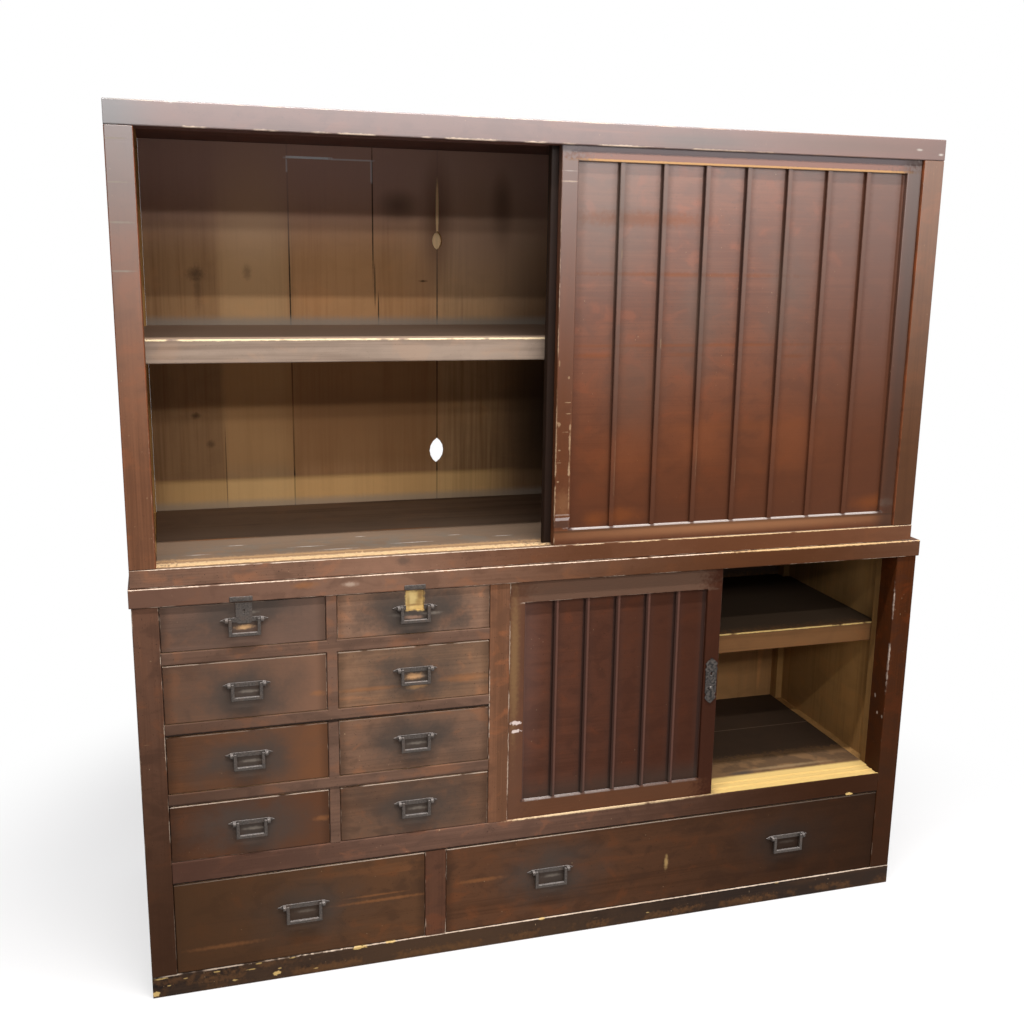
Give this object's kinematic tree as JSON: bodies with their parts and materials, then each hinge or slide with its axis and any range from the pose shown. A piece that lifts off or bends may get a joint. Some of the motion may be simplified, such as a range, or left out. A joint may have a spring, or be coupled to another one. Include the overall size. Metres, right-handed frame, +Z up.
{
  "type": "clothes cabinet",
  "caption": "Two-part stacking wooden cabinet with slatted sliding doors above, and small drawers, a sliding-door cupboard and wide drawers with iron bail handles below.",
  "frame": {"origin": "on the floor, at the middle of the whole width and of the whole depth with the handles", "axes": "+Z up; the front faces -Y; +X to the right when looking at the front"},
  "size_m": [1.745, 0.5622, 1.7606],
  "materials": {
    "dark_lacquered_wood": "worn dark red-brown lacquer, satin",
    "raw_cedar": "bare planed cedar, darkened with age",
    "blackened_plinth_wood": "near-black scuffed lacquer",
    "dark_forged_iron": "dark forged iron with rubbed edges"
  },
  "bodies": {
    "case": {"base_plinth": "blackened_plinth_wood", "bottom_divider": "dark_lacquered_wood", "centre_partition": "dark_lacquered_wood", "drawer_bank": "dark_lacquered_wood", "lower_back": "raw_cedar", "lower_left_post": "dark_lacquered_wood", "lower_left_side": "dark_lacquered_wood", "lower_right_post": "dark_lacquered_wood", "lower_right_side": "dark_lacquered_wood", "lower_shelf": "dark_lacquered_wood", "lower_top": "dark_lacquered_wood", "middle_rail": "dark_lacquered_wood", "upper_back": "raw_cedar", "upper_floor": "dark_lacquered_wood", "upper_left_post": "dark_lacquered_wood", "upper_left_side": "dark_lacquered_wood", "upper_right_post": "dark_lacquered_wood", "upper_right_side": "dark_lacquered_wood", "upper_shelf": "dark_lacquered_wood", "upper_top": "dark_lacquered_wood"},
    "upper_front_door": {"upper_front_door_frame": "dark_lacquered_wood", "upper_front_door_panel": "dark_lacquered_wood"},
    "upper_rear_door": {"upper_rear_door": "dark_lacquered_wood"},
    "lower_front_door": {"lower_front_door_frame": "dark_lacquered_wood", "lower_front_door_panel": "dark_lacquered_wood", "door_lock_plate": "dark_forged_iron"},
    "lower_rear_door": {"lower_rear_door": "dark_lacquered_wood"},
    "left_drawer_1": {"left_drawer_1": "dark_lacquered_wood", "left_drawer_1_mount": "dark_forged_iron"},
    "left_drawer_2": {"left_drawer_2": "dark_lacquered_wood", "left_drawer_2_mount": "dark_forged_iron"},
    "left_drawer_3": {"left_drawer_3": "dark_lacquered_wood", "left_drawer_3_mount": "dark_forged_iron"},
    "left_drawer_4": {"left_drawer_4": "dark_lacquered_wood", "left_drawer_4_mount": "dark_forged_iron"},
    "inner_drawer_1": {"inner_drawer_1": "dark_lacquered_wood", "inner_drawer_1_left_mount": "dark_forged_iron", "inner_drawer_1_right_mount": "dark_forged_iron"},
    "inner_drawer_2": {"inner_drawer_2": "dark_lacquered_wood", "inner_drawer_2_mount": "dark_forged_iron"},
    "inner_drawer_3": {"inner_drawer_3": "dark_lacquered_wood", "inner_drawer_3_mount": "dark_forged_iron"},
    "inner_drawer_4": {"inner_drawer_4": "dark_lacquered_wood", "inner_drawer_4_mount": "dark_forged_iron"},
    "bottom_left_drawer": {"bottom_left_drawer": "dark_lacquered_wood", "bottom_left_drawer_mount": "dark_forged_iron"},
    "bottom_right_drawer": {"bottom_right_drawer": "dark_lacquered_wood", "bottom_right_drawer_left_mount": "dark_forged_iron", "bottom_right_drawer_right_mount": "dark_forged_iron"},
    "bottom_left_drawer_bail": {"bottom_left_drawer_bail": "dark_forged_iron"},
    "bottom_right_drawer_left_bail": {"bottom_right_drawer_left_bail": "dark_forged_iron"},
    "bottom_right_drawer_right_bail": {"bottom_right_drawer_right_bail": "dark_forged_iron"},
    "inner_drawer_1_bail": {"inner_drawer_1_bail": "dark_forged_iron"},
    "inner_drawer_2_bail": {"inner_drawer_2_bail": "dark_forged_iron"},
    "inner_drawer_3_bail": {"inner_drawer_3_bail": "dark_forged_iron"},
    "inner_drawer_4_bail": {"inner_drawer_4_bail": "dark_forged_iron"},
    "left_drawer_1_bail": {"left_drawer_1_bail": "dark_forged_iron"},
    "left_drawer_2_bail": {"left_drawer_2_bail": "dark_forged_iron"},
    "left_drawer_3_bail": {"left_drawer_3_bail": "dark_forged_iron"},
    "left_drawer_4_bail": {"left_drawer_4_bail": "dark_forged_iron"}
  },
  "joints": [
    {"name": "upper_front_door_slide", "type": "slide", "parent": "case", "child": "upper_front_door", "axis": [1, 0, 0], "range_m": [-0.7974, 0]},
    {"name": "upper_rear_door_slide", "type": "slide", "parent": "case", "child": "upper_rear_door", "axis": [1, 0, 0], "range_m": [-0.7834, 0.014]},
    {"name": "lower_front_door_slide", "type": "slide", "parent": "case", "child": "lower_front_door", "axis": [1, 0, 0], "range_m": [0, 0.4402]},
    {"name": "lower_rear_door_slide", "type": "slide", "parent": "case", "child": "lower_rear_door", "axis": [1, 0, 0], "range_m": [0, 0.4402]},
    {"name": "left_drawer_1_slide", "type": "slide", "parent": "case", "child": "left_drawer_1", "axis": [0, -1, 0], "range_m": [0, 0.36]},
    {"name": "left_drawer_2_slide", "type": "slide", "parent": "case", "child": "left_drawer_2", "axis": [0, -1, 0], "range_m": [0, 0.36]},
    {"name": "left_drawer_3_slide", "type": "slide", "parent": "case", "child": "left_drawer_3", "axis": [0, -1, 0], "range_m": [0, 0.36]},
    {"name": "left_drawer_4_slide", "type": "slide", "parent": "case", "child": "left_drawer_4", "axis": [0, -1, 0], "range_m": [0, 0.36]},
    {"name": "inner_drawer_1_slide", "type": "slide", "parent": "case", "child": "inner_drawer_1", "axis": [0, -1, 0], "range_m": [0, 0.36]},
    {"name": "inner_drawer_2_slide", "type": "slide", "parent": "case", "child": "inner_drawer_2", "axis": [0, -1, 0], "range_m": [0, 0.36]},
    {"name": "inner_drawer_3_slide", "type": "slide", "parent": "case", "child": "inner_drawer_3", "axis": [0, -1, 0], "range_m": [0, 0.36]},
    {"name": "inner_drawer_4_slide", "type": "slide", "parent": "case", "child": "inner_drawer_4", "axis": [0, -1, 0], "range_m": [0, 0.36]},
    {"name": "bottom_left_drawer_slide", "type": "slide", "parent": "case", "child": "bottom_left_drawer", "axis": [0, -1, 0], "range_m": [0, 0.36]},
    {"name": "bottom_right_drawer_slide", "type": "slide", "parent": "case", "child": "bottom_right_drawer", "axis": [0, -1, 0], "range_m": [0, 0.36]},
    {"name": "bottom_left_drawer_bail_hinge", "type": "hinge", "parent": "bottom_left_drawer", "child": "bottom_left_drawer_bail", "pos_m": [-0.558, -0.2769, 0.1655], "axis": [-1, 0, 0], "range_deg": [-8, 160]},
    {"name": "bottom_right_drawer_left_bail_hinge", "type": "hinge", "parent": "bottom_right_drawer", "child": "bottom_right_drawer_left_bail", "pos_m": [-0.01275, -0.2769, 0.1655], "axis": [-1, 0, 0], "range_deg": [-8, 160]},
    {"name": "bottom_right_drawer_right_bail_hinge", "type": "hinge", "parent": "bottom_right_drawer", "child": "bottom_right_drawer_right_bail", "pos_m": [0.57925, -0.2769, 0.1655], "axis": [-1, 0, 0], "range_deg": [-8, 160]},
    {"name": "inner_drawer_1_bail_hinge", "type": "hinge", "parent": "inner_drawer_1", "child": "inner_drawer_1_bail", "pos_m": [-0.3184, -0.2769, 0.7996], "axis": [-1, 0, 0], "range_deg": [-8, 160]},
    {"name": "inner_drawer_2_bail_hinge", "type": "hinge", "parent": "inner_drawer_2", "child": "inner_drawer_2_bail", "pos_m": [-0.3184, -0.2769, 0.66565], "axis": [-1, 0, 0], "range_deg": [-8, 160]},
    {"name": "inner_drawer_3_bail_hinge", "type": "hinge", "parent": "inner_drawer_3", "child": "inner_drawer_3_bail", "pos_m": [-0.3184, -0.2769, 0.51745], "axis": [-1, 0, 0], "range_deg": [-8, 160]},
    {"name": "inner_drawer_4_bail_hinge", "type": "hinge", "parent": "inner_drawer_4", "child": "inner_drawer_4_bail", "pos_m": [-0.3184, -0.2769, 0.36925], "axis": [-1, 0, 0], "range_deg": [-8, 160]},
    {"name": "left_drawer_1_bail_hinge", "type": "hinge", "parent": "left_drawer_1", "child": "left_drawer_1_bail", "pos_m": [-0.659, -0.2769, 0.7996], "axis": [-1, 0, 0], "range_deg": [-8, 160]},
    {"name": "left_drawer_2_bail_hinge", "type": "hinge", "parent": "left_drawer_2", "child": "left_drawer_2_bail", "pos_m": [-0.659, -0.2769, 0.66565], "axis": [-1, 0, 0], "range_deg": [-8, 160]},
    {"name": "left_drawer_3_bail_hinge", "type": "hinge", "parent": "left_drawer_3", "child": "left_drawer_3_bail", "pos_m": [-0.659, -0.2769, 0.51745], "axis": [-1, 0, 0], "range_deg": [-8, 160]},
    {"name": "left_drawer_4_bail_hinge", "type": "hinge", "parent": "left_drawer_4", "child": "left_drawer_4_bail", "pos_m": [-0.659, -0.2769, 0.36925], "axis": [-1, 0, 0], "range_deg": [-8, 160]}
  ]
}
